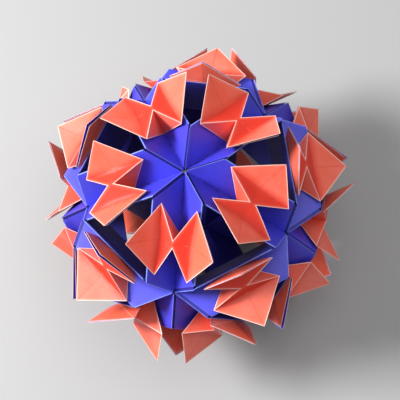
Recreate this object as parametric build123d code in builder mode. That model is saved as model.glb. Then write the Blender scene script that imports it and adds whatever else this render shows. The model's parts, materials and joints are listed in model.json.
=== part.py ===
from build123d import *
from math import acos, atan, cos, pi, radians, sin, sqrt
import os

# A kusudama ball: thirty squares of two-tone paper, each folded into the same unit.
# One unit lies along each edge of an icosahedron. Five units meet in each of the twelve
# star-shaped cups, and three units frame each of the twenty triangular holes.
# Sizes are in millimetres. The ball stands on the ten wing tips around its lowest cup.

# The ball's skeleton
cup_radius = 43.6
ridge_rise = 6.0
ridge_reach = 14.2
cup_hole = 1.1

# The sheet, and how closely its layers lie
paper = 0.2
slip = 0.1
joint_gap = 0.16
seam_gap = 0.3

# The tab on one side of each end, which slides into the next unit's pocket
tab_depth = 8.5
tab_foot = 4.0
tab_head = 2.2
tab_taper = 1.5
tab_hem = 2.5
tab_margin = 2.0

# The two wings that open over the middle of a unit, from a waist above its walls
waist_rise = 1.6681
waist_length = 2.8
flap_depth = 6.1
flap_slope = -6.5
wing_leg = 18.75
tip_slope = 40.5
rim_gap = 0.4
tip_split = 0.8
steepest_mitre = 0.5

# Angles of an icosahedron, from the middle of an edge to its vertex and to the next face
half_edge_angle = atan(2) / 2
golden = (1 + sqrt(5)) / 2
edge_to_face_angle = acos(golden / sqrt(3))

# A unit's own frame: X along the unit, Y across it, Z out from the ball's centre
cup_axis = Vector(-sin(half_edge_angle), 0, cos(half_edge_angle))
face_axis = Vector(0, sin(edge_to_face_angle), cos(edge_to_face_angle))
toward_face = (face_axis - cup_axis * cup_axis.dot(face_axis)).normalized()
cup_centre = cup_axis * cup_radius
ridge_end = cup_axis * (cup_radius + ridge_rise) + toward_face * ridge_reach
seam_middle = Vector(0, 0, cup_centre.Z)
edge_middle = Vector(0, ridge_end.Y, ridge_end.Z)
waist_height = ridge_end.Z + waist_rise

# One wall of the trough: two layers of paper, with a pocket between them
pocket = paper + 2 * slip
wall_thickness = 2 * paper + pocket
wall_height = (edge_middle - seam_middle).length
wall_rise = (edge_middle - seam_middle).normalized()
wall_inward = Vector(0, wall_rise.Z, -wall_rise.Y)
ridge_lean = (ridge_end.X - cup_centre.X) / wall_height


def on_wall(up, inward):
    """A point of the trough's section, up from the seam and in from the wall's face"""
    place = seam_middle + wall_rise * up + wall_inward * inward
    return (place.Y, place.Z)


def on_seam(inward):
    """A point of the trough's section on its middle line, at a layer's depth"""
    return (0, seam_middle.Z - inward / wall_rise.Y)


def ridge_plane(end, side, gap):
    """The plane between two neighbours, through a cup's axis and a ridge"""
    facing = cup_axis.cross(toward_face)
    facing = facing * (1 if facing.Z > 0 else -1)
    facing = Vector(-facing.X * end, facing.Y * side, facing.Z)
    return Plane(origin=facing * gap, z_dir=facing)


def pocket_leaf(depth, lowest, highest):
    """A leaf of paper in the pocket, running in from a ridge and cut on the ridge's plane"""
    leaf_plane = Plane(
        origin=seam_middle + wall_inward * highest, x_dir=(1, 0, 0), z_dir=wall_inward * -1
    )
    foot_x = cup_centre.X + ridge_lean * tab_foot
    head_x = ridge_end.X - ridge_lean * tab_head
    head = wall_height - tab_head
    with BuildPart() as leaf:
        with BuildSketch(leaf_plane):
            with BuildLine():
                Polyline(
                    (foot_x - tab_margin, tab_foot),
                    (foot_x + depth - tab_taper, tab_foot),
                    (foot_x + depth, tab_foot + tab_taper),
                    (head_x + depth, head - tab_taper),
                    (head_x + depth - tab_taper, head),
                    (head_x - tab_margin, head),
                    close=True,
                )
            make_face()
        extrude(amount=highest - lowest)
        split(bisect_by=ridge_plane(-1, 1, 0), keep=Keep.TOP)
    return leaf.part


def wing_places(opening, turn):
    """The corners of one wing, by name, with the wing opened by so many degrees"""
    lift, tip_lift, swing = opening
    flap_angle = radians(flap_slope + lift)
    tip_angle = radians(tip_slope + tip_lift)
    half_span = wing_leg / sqrt(2)
    bend = Vector(0, 0, waist_height) + Vector(0, cos(flap_angle), sin(flap_angle)) * flap_depth
    tip = bend + Vector(0, cos(tip_angle), sin(tip_angle)) * half_span
    places = {("tip", turn): tip, ("tip back", turn): tip - Vector(0, 0, tip_split)}
    for end in (-1, 1):
        corner = bend + Vector(half_span * end, 0, 0)
        places["corner", turn, end] = corner
        places["corner back", turn, end] = corner - Vector(0, 0, rim_gap)
    half_turn = 0 if turn == 1 else 180
    places = {name: place.rotate(Axis.Z, swing + half_turn) for name, place in places.items()}
    places["edge", turn] = edge_middle.rotate(Axis.Z, half_turn)
    return places


def wing_facets(turn):
    """The flat facets of one wing, each with its corners anticlockwise from outside"""
    tip, tip_back, edge = ("tip", turn), ("tip back", turn), ("edge", turn)
    corner = {end: ("corner", turn, end) for end in (-1, 1)}
    corner_back = {end: ("corner back", turn, end) for end in (-1, 1)}
    notch = {end: ("notch", end * turn) for end in (-1, 1)}
    front = [
        (notch[-1], notch[1], corner[1]),
        (notch[-1], corner[1], corner[-1]),
        (corner[-1], corner[1], tip),
    ]
    facets = list(front)
    for end in (-1, 1):
        beside = [
            (notch[end], corner[end], "seam"),
            (corner[end], corner_back[end], "seam"),
            ("seam", corner_back[end], edge),
            (edge, corner_back[end], tip_back),
        ]
        facets += [facet[::-end] for facet in beside]
    return facets


def folded_sheet(places, facets):
    """A sheet of paper over flat facets: an outer skin, an inner skin and the raw rims"""
    normals = {}
    for facet in facets:
        first, second, third = [places[name] for name in facet]
        normal = (second - first).cross(third - first).normalized()
        for name in facet:
            normals.setdefault(name, []).append(normal)
    outer, inner = {}, {}
    for name, around in normals.items():
        outward = sum(around, Vector(0, 0, 0)).normalized()
        slant = sum(outward.dot(normal) for normal in around) / len(around)
        mitre = outward * (paper / 2 / max(slant, steepest_mitre))
        outer[name] = places[name] + mitre
        inner[name] = places[name] - mitre
    edges = {edge for a, b, c in facets for edge in ((a, b), (b, c), (c, a))}
    triangles = []
    for a, b, c in facets:
        triangles.append((outer[a], outer[b], outer[c]))
        triangles.append((inner[c], inner[b], inner[a]))
    for a, b in sorted(edges, key=str):
        if (b, a) not in edges:
            triangles.append((outer[b], outer[a], inner[a]))
            triangles.append((outer[b], inner[a], inner[b]))
    faces = [Face(Wire.make_polygon(triangle)) for triangle in triangles]
    return Solid(Shell(faces))


def folded_unit(openings):
    """One folded sheet, lying along X over the ball's centre"""
    places = {"seam": seam_middle}
    facets = []
    for end in (-1, 1):
        places["notch", end] = Vector(end * waist_length / 2, 0, waist_height)
    for turn, opening in zip((1, -1), openings):
        places.update(wing_places(opening, turn))
        facets += wing_facets(turn)
    wings = folded_sheet(places, facets)

    with BuildPart() as unit:
        # The doubled walls of the trough, with their pockets, as one bent section
        with BuildSketch(Plane.YZ):
            with BuildLine():
                Polyline(
                    on_seam(0),
                    on_wall(wall_height, 0),
                    on_wall(wall_height, wall_thickness),
                    on_seam(wall_thickness),
                    close=True,
                )
            make_face()
            with BuildLine():
                Polyline(
                    on_seam(paper),
                    on_wall(wall_height - paper, paper),
                    on_wall(wall_height - paper, paper + pocket),
                    on_seam(paper + pocket),
                    close=True,
                )
            make_face(mode=Mode.SUBTRACT)
            mirror(about=Plane.YZ)
            with Locations((0, seam_middle.Z)):
                Rectangle(seam_gap, 2 * (paper + slip) / wall_rise.Y, mode=Mode.SUBTRACT)
        extrude(amount=-cup_centre.X, both=True)
        # The ends lean back along the ridges of the two cups, and stop short of its hole
        for end in (-1, 1):
            for side in (-1, 1):
                split(bisect_by=ridge_plane(end, side, joint_gap / 2), keep=Keep.TOP)
            from_hole = Vector(-end * cup_axis.Z, 0, -cup_axis.X)
            split(bisect_by=Plane(origin=from_hole * cup_hole / 2, z_dir=from_hole), keep=Keep.TOP)
        # A tab at each end, hemmed inside its own wall and crossing into the next unit's
        for half_turn in (0, 180):
            add(hem.rotate(Axis.Z, half_turn))
            add(tab.rotate(Axis.Z, half_turn))
        add(wings)
    return unit.part


def cup_direction(tier, step):
    """The direction of a cup: one at the top, two rings of five, and one at the bottom"""
    if tier in ("top", "bottom"):
        return Vector(0, 0, 1 if tier == "top" else -1)
    height = (1 if tier == "upper" else -1) / sqrt(5)
    around = 2 * pi / 5 * (step + (0 if tier == "upper" else 0.5))
    ring = 2 / sqrt(5)
    return Vector(ring * cos(around), ring * sin(around), height)


def unit_plane(first_cup, second_cup):
    """Where a unit lies on the ball: X from cup to cup, Z outwards"""
    first, second = cup_direction(*first_cup), cup_direction(*second_cup)
    return Plane(origin=(0, 0, 0), x_dir=second - first, z_dir=first + second)


# The tab lies in the neighbour's pocket, as its own wall's reflection in the ridge
with BuildPart() as tab_part:
    add(pocket_leaf(tab_depth, wall_thickness / 2 - paper / 2, wall_thickness / 2 + paper / 2))
    mirror(about=ridge_plane(-1, 1, 0), mode=Mode.REPLACE)
tab = tab_part.part
hem = pocket_leaf(tab_hem, wall_thickness / 2 - paper / 2, paper + pocket)

# The thirty edges of the ball, from the top cup down
rows = {"cap_unit": [], "upper_unit": [], "belt_unit": [], "lower_unit": [], "foot_unit": []}
for step in range(5):
    rows["cap_unit"].append((("top", 0), ("upper", step)))
    rows["upper_unit"].append((("upper", step), ("upper", step + 1)))
    rows["belt_unit"].append((("upper", step), ("lower", step)))
    rows["belt_unit"].append((("lower", step), ("upper", step + 1)))
    rows["lower_unit"].append((("lower", step), ("lower", step + 1)))
    rows["foot_unit"].append((("lower", step), ("bottom", 0)))

# The ball stands on the tips of its foot units
plain_unit = folded_unit(((0, 0, 0), (0, 0, 0)))
foot = unit_plane(*rows["foot_unit"][0]).location * plain_unit
centre_height = -foot.bounding_box().min.Z

os.makedirs("parts", exist_ok=True)
for row, edges in rows.items():
    for number, (first_cup, second_cup) in enumerate(edges, start=1):
        place = Pos(0, 0, centre_height) * unit_plane(first_cup, second_cup).location
        with BuildPart() as unit:
            add(place * plain_unit)
        unit.part.label = f"{row}_{number}"
        export_step(unit.part, f"parts/{unit.part.label}.step")
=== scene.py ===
import json
from math import atan, atan2, cos, pi, radians, sin, sqrt, tan

import bmesh
import bpy
from mathutils import Matrix, Vector, noise


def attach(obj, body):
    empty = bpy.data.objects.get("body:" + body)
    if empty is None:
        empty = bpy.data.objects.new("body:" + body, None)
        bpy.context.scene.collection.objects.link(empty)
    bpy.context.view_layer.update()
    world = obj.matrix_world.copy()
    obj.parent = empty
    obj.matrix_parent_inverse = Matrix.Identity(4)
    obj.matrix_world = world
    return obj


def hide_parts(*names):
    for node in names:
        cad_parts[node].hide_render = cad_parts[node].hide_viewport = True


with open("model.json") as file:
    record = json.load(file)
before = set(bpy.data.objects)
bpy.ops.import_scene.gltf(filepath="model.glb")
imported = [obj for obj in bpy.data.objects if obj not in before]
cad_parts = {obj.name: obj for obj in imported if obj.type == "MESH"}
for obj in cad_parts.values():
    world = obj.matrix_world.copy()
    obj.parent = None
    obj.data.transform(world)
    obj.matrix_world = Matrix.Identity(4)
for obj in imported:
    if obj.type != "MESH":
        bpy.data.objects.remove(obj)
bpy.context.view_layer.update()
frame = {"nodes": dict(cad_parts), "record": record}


# The paper: thin square sheets of folding paper, dyed salmon orange on one face and
# blue-violet on the other. The core is white, so cut edges and hard folds show pale.
mm = 0.001
sheet_thickness = 0.1 * mm


def paper_finish(name, colour, blotch, grain_and_painted_shade, pale, worn, cracked, sheen):
    """One face of the paper: fibres, cloudy dye, pale rims and folds, faint creases, and painted shade
    over the wing's flap and along creases
    """
    material = bpy.data.materials.new(name)
    material.use_nodes = True
    nodes, links = material.node_tree.nodes, material.node_tree.links
    shader = nodes["Principled BSDF"]
    shader.inputs["Roughness"].default_value = 0.5
    shader.inputs["Specular IOR Level"].default_value = sheen
    place = nodes.new("ShaderNodeTexCoord").outputs["Object"]

    def speckle(scale, detail, roughness=0.5):
        texture = nodes.new("ShaderNodeTexNoise")
        texture.inputs["Scale"].default_value = scale
        texture.inputs["Detail"].default_value = detail
        texture.inputs["Roughness"].default_value = roughness
        links.new(place, texture.inputs["Vector"])
        return texture.outputs["Fac"]

    def spread(value, low, high, to_low=0.0, to_high=1.0):
        step = nodes.new("ShaderNodeMapRange")
        step.interpolation_type = "SMOOTHSTEP"
        for socket, number in (("From Min", low), ("From Max", high),
                               ("To Min", to_low), ("To Max", to_high)):
            step.inputs[socket].default_value = number
        links.new(value, step.inputs["Value"])
        return step.outputs["Result"]

    def combine(operation, first, second):
        step = nodes.new("ShaderNodeMath")
        step.operation = operation
        for socket, value in zip(step.inputs, (first, second)):
            if isinstance(value, (int, float)):
                socket.default_value = value
            else:
                links.new(value, socket)
        return step.outputs[0]

    def tint(under, over, amount):
        step = nodes.new("ShaderNodeMix")
        step.data_type = "RGBA"
        for socket, value in (("A", under), ("B", over)):
            socket = [s for s in step.inputs if s.name == socket and s.type == "RGBA"][0]
            if isinstance(value, tuple):
                socket.default_value = value + (1.0,)
            else:
                links.new(value, socket)
        if isinstance(amount, float):
            step.inputs["Factor"].default_value = amount
        else:
            links.new(amount, step.inputs["Factor"])
        return [s for s in step.outputs if s.type == "RGBA"][0]

    distances = nodes.new("ShaderNodeAttribute")
    distances.attribute_name = "fold_distances"
    split = nodes.new("ShaderNodeSeparateXYZ")
    links.new(distances.outputs["Vector"], split.inputs["Vector"])
    rim, fold, crease = split.outputs
    sheet = nodes.new("ShaderNodeAttribute")
    sheet.attribute_name = "sheet_tone"
    bend = nodes.new("ShaderNodeAttribute")
    bend.attribute_name = "bend_distance"

    # The dye: cloudy, a little fibrous, its own tone on each sheet. Painted shade: deep red over the
    # wing's flap, fading across the bend onto the tip
    clouds = speckle(90, 3)
    fibres = speckle(1900, 4, 0.65)
    flecks = speckle(520, 2)
    dyed = tint(colour, blotch, spread(clouds, 0.32, 0.68))
    dyed = tint(dyed, grain_and_painted_shade, combine("MULTIPLY", spread(fibres, 0.35, 0.7), 0.16))
    dyed = tint(dyed, blotch, combine("MULTIPLY", sheet.outputs["Fac"], 0.5))
    # Painted shade over the flap and into the bend, in the darker grain colour
    painted_flap_shade = combine("MULTIPLY", spread(bend.outputs["Fac"], 3.6, -1.0), 0.92)
    dyed = tint(dyed, grain_and_painted_shade, painted_flap_shade)
    # The wear: rubbed towards a rim, white core at the rims and hard folds, cracked creases; then painted
    # shade along the creases
    rubbed = combine("MULTIPLY", spread(rim, 1.5, 0.1), combine("MULTIPLY", flecks, 0.34))
    dyed = tint(dyed, worn, rubbed)
    ragged = combine("MULTIPLY", combine("SUBTRACT", flecks, 0.5), 0.22)
    rim_line = spread(combine("ADD", rim, ragged), 0.34, 0.16)
    fold_line = combine("MULTIPLY", spread(combine("ADD", fold, ragged), 0.22, 0.08), 0.6)
    dyed = tint(dyed, pale, combine("MULTIPLY", rim_line, 0.78))
    dyed = tint(dyed, pale, fold_line)
    broken = combine("MULTIPLY", spread(crease, 0.18, 0.05), spread(flecks, 0.5, 0.62))
    dyed = tint(dyed, pale, combine("MULTIPLY", broken, cracked))
    # Painted shade: a faint dark line along each crease
    painted_crease_shade = combine("MULTIPLY", spread(crease, 0.4, 0.1), 0.34)
    dyed = tint(dyed, grain_and_painted_shade, painted_crease_shade)
    links.new(dyed, shader.inputs["Base Color"])
    relief = nodes.new("ShaderNodeBump")
    relief.inputs["Strength"].default_value = 0.35
    relief.inputs["Distance"].default_value = 0.04 * mm
    links.new(fibres, relief.inputs["Height"])
    links.new(relief.outputs["Normal"], shader.inputs["Normal"])
    return material


# The two faces of the sheet, and the blue face where it is shut in beside a hole, painted darker as shade
orange_paper = paper_finish(
    "orange paper", (0.92, 0.185, 0.13), (0.86, 0.12, 0.06), (0.67, 0.02, 0.004),
    (1.0, 0.68, 0.6), (0.96, 0.32, 0.22), cracked=0.2, sheen=0.6)
blue_paper = paper_finish(
    "blue paper", (0.05, 0.052, 0.68), (0.04, 0.036, 0.52), (0.02, 0.012, 0.25),
    (0.3, 0.42, 1.0), (0.12, 0.14, 0.86), cracked=0.6, sheen=0.6)
# The same blue paper with painted shade: much darker, for the hole side and the pocket's inside
painted_shade_blue_paper = paper_finish(
    "blue paper, hole side, painted shade", (0.018, 0.017, 0.24), (0.013, 0.011, 0.17), (0.006, 0.004, 0.08),
    (0.1, 0.14, 0.5), (0.03, 0.035, 0.3), cracked=0.3, sheen=0.4)


# How the ball is put together: thirty equal units, one along each edge of an icosahedron,
# with five around each of the twelve stars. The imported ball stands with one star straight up
# and its hanging thread's hole in the middle of that star.
cup_radius = 43.6
ridge_rise = 6.0
ridge_reach = 14.2
half_edge_angle = atan(2) / 2
ball_centre = frame["record"]["mounts"][0]["pos_m"][2] - cup_radius * mm
cap_points = [vertex.co for vertex in frame["nodes"]["cap_unit_1"].data.vertices]
cap_middle = sum(cap_points, Vector()) / len(cap_points)
first_star = atan2(cap_middle.y, cap_middle.x)
tiers = {"top": (1, 0), "upper": (1 / sqrt(5), 0), "lower": (-1 / sqrt(5), 0.5), "bottom": (-1, 0)}
rows = {"cap_unit": [], "upper_unit": [], "belt_unit": [], "lower_unit": [], "foot_unit": []}
for step in range(5):
    rows["cap_unit"].append((("top", 0), ("upper", step)))
    rows["upper_unit"].append((("upper", step), ("upper", step + 1)))
    rows["belt_unit"].append((("upper", step), ("lower", step)))
    rows["belt_unit"].append((("lower", step), ("upper", step + 1)))
    rows["lower_unit"].append((("lower", step), ("lower", step + 1)))
    rows["foot_unit"].append((("lower", step), ("bottom", 0)))


def star_direction(tier, step):
    """The direction of a star's middle from the ball's centre"""
    height, offset = tiers[tier]
    reach = sqrt(1 - height * height)
    around = 2 * pi / 5 * (step + offset) + first_star
    return Vector((reach * cos(around), reach * sin(around), height))


def unit_placement(first, second):
    """The matrix that lays a unit, drawn in millimetres along X, on its edge of the ball"""
    start, end = star_direction(*first), star_direction(*second)
    along, outward = (end - start).normalized(), (start + end).normalized()
    turned = Matrix((along, outward.cross(along), outward)).transposed().to_4x4()
    return Matrix.Translation((0, 0, ball_centre)) @ turned @ Matrix.Scale(mm, 4)


# The walls of a unit: a trough of blue paper, doubled over at its two long edges, which makes
# the pocket. At one end of each wall the sheet turns over the ridge as a tab and slides into
# the neighbour's pocket, whose cut mouth stops a little short of the ridge.
star_end = Vector((-sin(half_edge_angle), 0, cos(half_edge_angle))) * cup_radius
star_axis = star_end.normalized()
hole_axis = Vector((0, 1, (3 + sqrt(5)) / 2)).normalized()
to_hole = (hole_axis - star_axis * star_axis.dot(hole_axis)).normalized()
ridge_end = star_axis * (cup_radius + ridge_rise) + to_hole * ridge_reach
seam = Vector((0, 0, star_end.z))
wall_edge = Vector((0, ridge_end.y, ridge_end.z))
wall_up = (wall_edge - seam).normalized()
wall_in = Vector((0, wall_up.z, -wall_up.y))
wall_height = (wall_edge - seam).length
wall_depth = 0.8
half_sweep = 27
fine_step = 2.4
ridge_gap = 0.05
mouth_setback = 0.75
tab_turn = 0.4
tab_turn_drop = 0.224
tab_drop = 0.28
tab_shown = 3.2
star_hole = 0.55
star_side = 2
hole_side = 4
far_away = 99.0


def ridge_normal(end, side):
    """The normal of the plane between two neighbours, pointing to this unit's side of it"""
    facing = star_axis.cross(to_hole)
    facing = facing * (1 if facing.z > 0 else -1)
    return Vector((-facing.x * end, facing.y * side, facing.z))


def line_distance(point, start, end):
    """How far a point lies from the line through two others"""
    along = (end - start).normalized()
    return ((point - start) - along * (point - start).dot(along)).length


def cut(bm, faces, point, normal, clear=False):
    """Cuts some of the sheet's faces on a plane, and drops what lies beyond it if asked"""
    edges = dict.fromkeys(edge for face in faces for edge in face.edges)
    corners = dict.fromkeys(corner for face in faces for corner in face.verts)
    bmesh.ops.bisect_plane(bm, geom=[*faces, *edges, *corners], dist=1e-5,
                           plane_co=point, plane_no=normal, clear_outer=clear)


def wall_section():
    """The section of one doubled wall, from the seam up its face, over the edge and back"""
    turn_radius = wall_depth / 2
    rows_up = 7
    straight = wall_height - turn_radius
    section = [(straight * row / rows_up, 0) for row in range(rows_up + 1)]
    for angle in (45, 90, 135, 180):
        section.append((straight + turn_radius * sin(radians(angle)),
                        turn_radius * (1 - cos(radians(angle)))))
    for row in range(1, 5):
        section.append((straight * (1 - row / 4), wall_depth))
    places = [seam + wall_up * up + wall_in * inward for up, inward in section]
    places[-1] = seam + Vector((0, 0, -wall_depth / wall_up.y))
    return places


def fold_wall(bm, distances):
    """One wall of the trough, with a tab over the ridge at one end and a mouth at the other"""
    before = set(bm.faces)
    chain = [bm.verts.new(place - Vector((half_sweep, 0, 0))) for place in wall_section()]
    edges = [bm.edges.new(pair) for pair in zip(chain, chain[1:])]
    swept = bmesh.ops.extrude_edge_only(bm, edges=edges)["geom"]
    moved = [item for item in swept if isinstance(item, bmesh.types.BMVert)]
    bmesh.ops.translate(bm, verts=moved, vec=(2 * half_sweep, 0, 0))

    def wall_faces():
        return [face for face in bm.faces if face not in before]

    for end in (-1, 1):
        facing = ridge_normal(end, 1)
        cut(bm, wall_faces(), facing * ridge_gap, -facing, clear=True)
        across = Vector((-end * star_axis.z, 0, -star_axis.x))
        cut(bm, wall_faces(), across * star_hole, -across, clear=True)
    facing = ridge_normal(1, 1)
    outer = [face for face in wall_faces()
             if (face.calc_center_median() - seam).dot(wall_in) < wall_depth * 0.6]
    cut(bm, outer, facing * mouth_setback, -facing, clear=True)
    for across in range(-9, 10):
        cut(bm, wall_faces(), Vector((across * fine_step, 0, 0)), Vector((1, 0, 0)))

    facing = ridge_normal(-1, 1)
    ridge_edges = [edge for face in wall_faces() for edge in face.edges if edge.is_boundary
                   and all(abs(corner.co.dot(facing) - ridge_gap) < 1e-3 for corner in edge.verts)
                   and all((corner.co - seam).dot(wall_in) < 0.1 for corner in edge.verts)]
    ridge_edges = list(dict.fromkeys(ridge_edges))
    ridge_line = (ridge_end - star_end).normalized()
    into_wall = Vector((1, 0, 0)) - ridge_line * ridge_line.x
    into_wall.normalize()
    over_ridge = into_wall - facing * 2 * into_wall.dot(facing)
    inward = wall_in - facing * 2 * wall_in.dot(facing)
    strip = ridge_edges
    for reach, drop in ((tab_turn, tab_turn_drop), (tab_shown - tab_turn, tab_drop - tab_turn_drop)):
        swept = bmesh.ops.extrude_edge_only(bm, edges=strip)["geom"]
        moved = [item for item in swept if isinstance(item, bmesh.types.BMVert)]
        bmesh.ops.translate(bm, verts=moved, vec=over_ridge * reach + inward * drop)
        strip = [item for item in swept if isinstance(item, bmesh.types.BMEdge)
                 and item.is_boundary and item not in strip
                 and all(corner in moved for corner in item.verts)]

    mouth_start = Vector((-star_end.x, 0, star_end.z))
    mouth_end = Vector((-ridge_end.x, ridge_end.y, ridge_end.z))
    outer = [face for face in wall_faces() if (face.calc_center_median() - seam).dot(wall_in) < 0.05]
    if sum(face.normal.dot(wall_in) for face in outer) > 0:
        bmesh.ops.reverse_faces(bm, faces=wall_faces())
    for face in wall_faces():
        inward = (face.calc_center_median() - seam).dot(wall_in)
        face.material_index = star_side if inward < wall_depth * 0.4 else hole_side
        for loop in face.loops:
            place = loop.vert.co
            up = (place - seam).dot(wall_up)
            if place.x > 0:
                rim = abs(line_distance(place, mouth_start, mouth_end) - mouth_setback)
            else:
                rim = line_distance(place, star_end, ridge_end)
            loop[distances] = (rim, abs(wall_height - up), line_distance(place, star_end, mouth_start))


# The wings of a unit: the two halves of the sheet's middle, opened outwards over the holes on
# both sides as orange points. Each has a front with a soft bend, two side panels that dive to
# the seam, and a back, open along the cut rims. A hand opens each wing a little differently.
flap_depth = 6.5
flap_slope = radians(-11.5)
half_span = 18.75 / sqrt(2)
tip_slope = radians(41)
rim_gap = 0.2
tip_split = 0.35
bend_sag = 0.6
bend_softness = 1.6
wing_cuts = 9

# How far a hand turned a wing: the lift of its flap, the lift of its tip and its swing
level = (0, 0, 0)
turned = (-2, 2, -4)
lowered = (-8, 2, 1)
drooping = (-16, 4, -1)
tip_up = (3, 6, -3)
flattened = (6, -9, -1)
raised = (13, 2, -1)
wide = (23, 0, -4)
wing_openings = {
    "cap_unit_1": (tip_up, drooping),
    "cap_unit_2": (turned, turned),
    "cap_unit_3": (flattened, raised),
    "cap_unit_4": (flattened, level),
    "cap_unit_5": (lowered, drooping),
    "upper_unit_1": (tip_up, lowered),
    "upper_unit_2": (turned, flattened),
    "upper_unit_3": (level, flattened),
    "upper_unit_4": (flattened, level),
    "upper_unit_5": (raised, tip_up),
    "belt_unit_1": (raised, raised),
    "belt_unit_2": (tip_up, level),
    "belt_unit_3": (tip_up, lowered),
    "belt_unit_4": (level, wide),
    "belt_unit_5": (raised, raised),
    "belt_unit_8": (raised, raised),
    "belt_unit_10": (wide, wide),
}


def wing_corners(waist, side, opening):
    """Where one wing's tip and corners are, with its flap, its tip and itself turned"""
    lift, tip_lift, swing = [radians(angle) for angle in opening]
    flap_angle, tip_angle = flap_slope + lift, tip_slope + tip_lift
    bend = waist + Vector((0, cos(flap_angle), sin(flap_angle))) * flap_depth
    places = {"tip": bend + Vector((0, cos(tip_angle), sin(tip_angle))) * half_span}
    for end in (-1, 1):
        places["corner", end] = bend + Vector((half_span * end * side, 0, 0))
    turn = Matrix.Rotation(swing + (0 if side == 1 else pi), 3, "Z")
    return {name: turn @ place for name, place in places.items()}


def fold_wing(bm, distances, depth, front, side, places, gape):
    """One wing: flat facets, cut fine and softened along the bend, whose two layers gape"""
    down = Vector((0, 0, -gape))
    places["seam"] = seam
    places["edge"] = Vector((0, wall_edge.y * side, wall_edge.z))
    places["tip back"] = places["tip"] + down * tip_split
    places["waist"] = (places["notch", -1] + places["notch", 1]) / 2
    places["bend"] = (places["corner", -1] + places["corner", 1]) / 2
    places["bend"] += Vector((0, 0, -bend_sag))
    facets = []
    for end in (-1, 1):
        notch, corner, back = ("notch", end), ("corner", end), ("back", end)
        places[back] = places[corner] + down * rim_gap
        half = [
            ((notch, corner, "bend", "waist"), (notch, corner), None, ("waist", "bend")),
            ((corner, "tip", "bend"), (corner, "tip"), None, ("tip", "bend")),
            ((notch, "seam", corner), (notch, corner), (corner, "seam"), (notch, "seam")),
            ((corner, "seam", back), (corner, "seam"), (back, "seam"), None),
            (("seam", "edge", back), None, (back, "seam"), ("seam", "edge")),
            (("edge", "tip back", back), (back, "tip back"), ("edge", back), ("edge", "tip back")),
        ]
        for names, rim, fold, crease in half:
            facets.append((names[::end * side], rim, fold, crease))
    corners = {name: bm.verts.new(place) for name, place in places.items()}
    before = set(bm.faces)
    for names, rim, fold, crease in facets:
        face = bm.faces.new([corners[name] for name in names])
        face[front] = int("bend" in names)
        inner = -1 if "waist" in names else 1
        for loop in face.loops:
            away = line_distance(loop.vert.co, places["corner", -1], places["corner", 1])
            loop[depth] = away * inner if "bend" in names else far_away
            loop[distances] = [line_distance(loop.vert.co, places[line[0]], places[line[1]])
                               if line else far_away for line in (rim, fold, crease)]
    facets = [face for face in bm.faces if face not in before]
    edges = list(dict.fromkeys(edge for face in facets for edge in face.edges))
    bmesh.ops.subdivide_edges(bm, edges=edges, cuts=wing_cuts, use_grid_fill=True)
    for vertex in {corner for face in bm.faces if face not in before and face[front]
                   for corner in face.verts}:
        vertex.co += bend_rounding(vertex.co, places)


def bend_rounding(point, places):
    """How far a point of a wing's front is lifted to round the bend, most in its middle"""
    left, right, bend = places["corner", -1], places["corner", 1], places["bend"]
    across = (right - left).normalized()
    down, up = [flat - across * flat.dot(across)
                for flat in (places["waist"] - bend, places["tip"] - bend)]
    hollow = (down.normalized() + up.normalized()).normalized()
    offset = point - bend
    share = min(1.0, abs(offset.dot(across)) * 2 / (right - left).length)
    reach = bend_softness * (1 - share * share) + 0.05
    away = (offset - across * offset.dot(across)).length
    if away >= reach:
        return Vector()
    return hollow * tan(down.angle(-up) / 2) * (reach - away) ** 2 / (2 * reach)


# Folding by hand leaves slight waves and ripples. Every unit is one sheet, so its walls and
# wings are one piece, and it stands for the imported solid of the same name. Each sheet has a
# tone and a gape of its own, which are drawn in the same order every time.
wave_height = 0.16 * mm
wave_length = 22 * mm
ripple_height = 0.05 * mm
ripple_length = 6 * mm
sharp_fold = radians(24)
noise.seed_set(30)


def fold_unit(name, placement):
    """One whole unit, as a mesh in its place on the ball"""
    to_unit = placement.inverted()
    points = [to_unit @ vertex.co for vertex in frame["nodes"][name].data.vertices]
    bm = bmesh.new()
    distances = bm.loops.layers.float_vector.new("fold_distances")
    depth = bm.loops.layers.float.new("bend_distance")
    front = bm.faces.layers.int.new("front")
    for half_turn in (0, pi):
        before = set(bm.verts)
        fold_wall(bm, distances)
        wall = [vertex for vertex in bm.verts if vertex not in before]
        bmesh.ops.rotate(bm, verts=wall, cent=(0, 0, 0), matrix=Matrix.Rotation(half_turn, 3, "Z"))
    for face in bm.faces:
        for loop in face.loops:
            loop[depth] = far_away
    middle = [point for point in points if abs(point.y) < 0.6 and abs(point.x) < 3]
    notch = max(middle, key=lambda point: point.z)
    for side, opening in zip((1, -1), wing_openings.get(name, (level, level))):
        places = wing_corners(Vector((0, 0, notch.z)), side, opening)
        for end in (-1, 1):
            places["notch", end] = Vector((abs(notch.x) * end, 0, notch.z))
        fold_wing(bm, distances, depth, front, side, places, 1 + 3 * noise.random() ** 3)
    bmesh.ops.remove_doubles(bm, verts=bm.verts, dist=0.01)
    bmesh.ops.transform(bm, matrix=placement, verts=bm.verts)
    for vertex in bm.verts:
        wave = noise.noise_vector(vertex.co / wave_length) * wave_height
        vertex.co += wave + noise.noise_vector(vertex.co / ripple_length) * ripple_height
    for face in bm.faces:
        face.smooth = True
    for edge in bm.edges:
        edge.smooth = not edge.is_boundary and edge.calc_face_angle(pi) < sharp_fold
    bm.faces.layers.int.remove(front)
    mesh = bpy.data.meshes.new(name)
    bm.to_mesh(mesh)
    bm.free()
    return mesh


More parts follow.
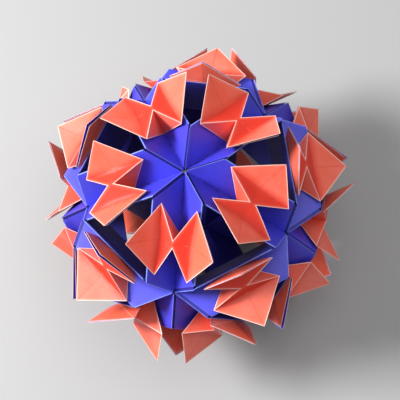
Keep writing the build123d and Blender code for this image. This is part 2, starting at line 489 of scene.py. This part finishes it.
def add_unit(name, placement, tone):
    """A folded unit in the scene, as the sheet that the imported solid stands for"""
    piece = bpy.data.objects.new(f"folded_{name}", fold_unit(name, placement))
    bpy.context.collection.objects.link(piece)
    # Pairs of a front and its back: a wing, a wall's star side and its hole side; the star side's back
    # and both faces of the hole side take the blue paper painted darker as shade
    for paper in (orange_paper, blue_paper, blue_paper, painted_shade_blue_paper, painted_shade_blue_paper, painted_shade_blue_paper):
        piece.data.materials.append(paper)
    shade = piece.data.attributes.new("sheet_tone", "FLOAT", "POINT")
    shade.data.foreach_set("value", [tone] * len(piece.data.vertices))
    thickness = piece.modifiers.new("two faces", "SOLIDIFY")
    thickness.thickness = sheet_thickness
    thickness.offset = -1
    thickness.material_offset = 1
    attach(piece, "root")
    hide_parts(name)


for row, edges in rows.items():
    for number, (first, second) in enumerate(edges, start=1):
        tone = noise.random()
        add_unit(f"{row}_{number}", unit_placement(first, second), tone)


# The studio: a pale matt table, a low window light from the left, a large weak lamp from above
# and an even white surround. The camera looks steeply down on the ball, as the photo does.
def studio_lamp(name, place, size, power, aim):
    """A square soft lamp that points at the ball"""
    lamp = bpy.data.lights.new(name, "AREA")
    lamp.size = size
    lamp.energy = power
    holder = bpy.data.objects.new(name, lamp)
    holder.location = place
    holder.rotation_euler = (aim - Vector(place)).to_track_quat("-Z", "Y").to_euler()
    bpy.context.collection.objects.link(holder)


camera_azimuth = first_star + radians(28.03)
camera_height = radians(74.90)
camera_distance = 0.4447
camera_roll = radians(-19.51)

floor_mesh = bpy.data.meshes.new("table")
bm = bmesh.new()
bmesh.ops.create_grid(bm, x_segments=1, y_segments=1, size=1.5)
bm.to_mesh(floor_mesh)
bm.free()
table = bpy.data.objects.new("table", floor_mesh)
bpy.context.collection.objects.link(table)
table_finish = bpy.data.materials.new("pale table")
table_finish.use_nodes = True
table_finish.node_tree.nodes["Principled BSDF"].inputs["Base Color"].default_value = (0.36, 0.36, 0.36, 1)
table_finish.node_tree.nodes["Principled BSDF"].inputs["Roughness"].default_value = 0.8
table.data.materials.append(table_finish)

backward = Vector((cos(camera_height) * cos(camera_azimuth),
                   cos(camera_height) * sin(camera_azimuth), sin(camera_height)))
camera = bpy.data.objects.new("camera", bpy.data.cameras.new("camera"))
camera.data.lens = 104.87
camera.data.sensor_width = 36
camera.data.clip_start = 0.01
level_right = Vector((0, 0, 1)).cross(backward).normalized()
level_up = backward.cross(level_right)
right = level_right * cos(camera_roll) + level_up * sin(camera_roll)
up = backward.cross(right)
centre = Vector((0, 0, ball_centre))
aim = centre + right * 1.48 * mm + up * 0.57 * mm
camera_turn = Matrix((right, up, backward)).transposed().to_4x4()
camera.matrix_world = Matrix.Translation(aim + backward * camera_distance) @ camera_turn
bpy.context.collection.objects.link(camera)
bpy.context.scene.camera = camera

window = centre + (right * -0.79 + up * 0.21 + backward * 0.575) * 0.8
studio_lamp("window light", window, 0.25, 12, centre)
fill = centre + (right * 0.17 + up * 0.3 + backward * 0.94) * 0.8
studio_lamp("fill light", fill, 0.6, 3, centre)
surround = bpy.data.worlds.new("surround")
surround.use_nodes = True
surround.node_tree.nodes["Background"].inputs["Color"].default_value = (0.97, 0.98, 1.0, 1)
surround.node_tree.nodes["Background"].inputs["Strength"].default_value = 0.3
bpy.context.scene.world = surround
bpy.context.scene.view_settings.view_transform = "Standard"
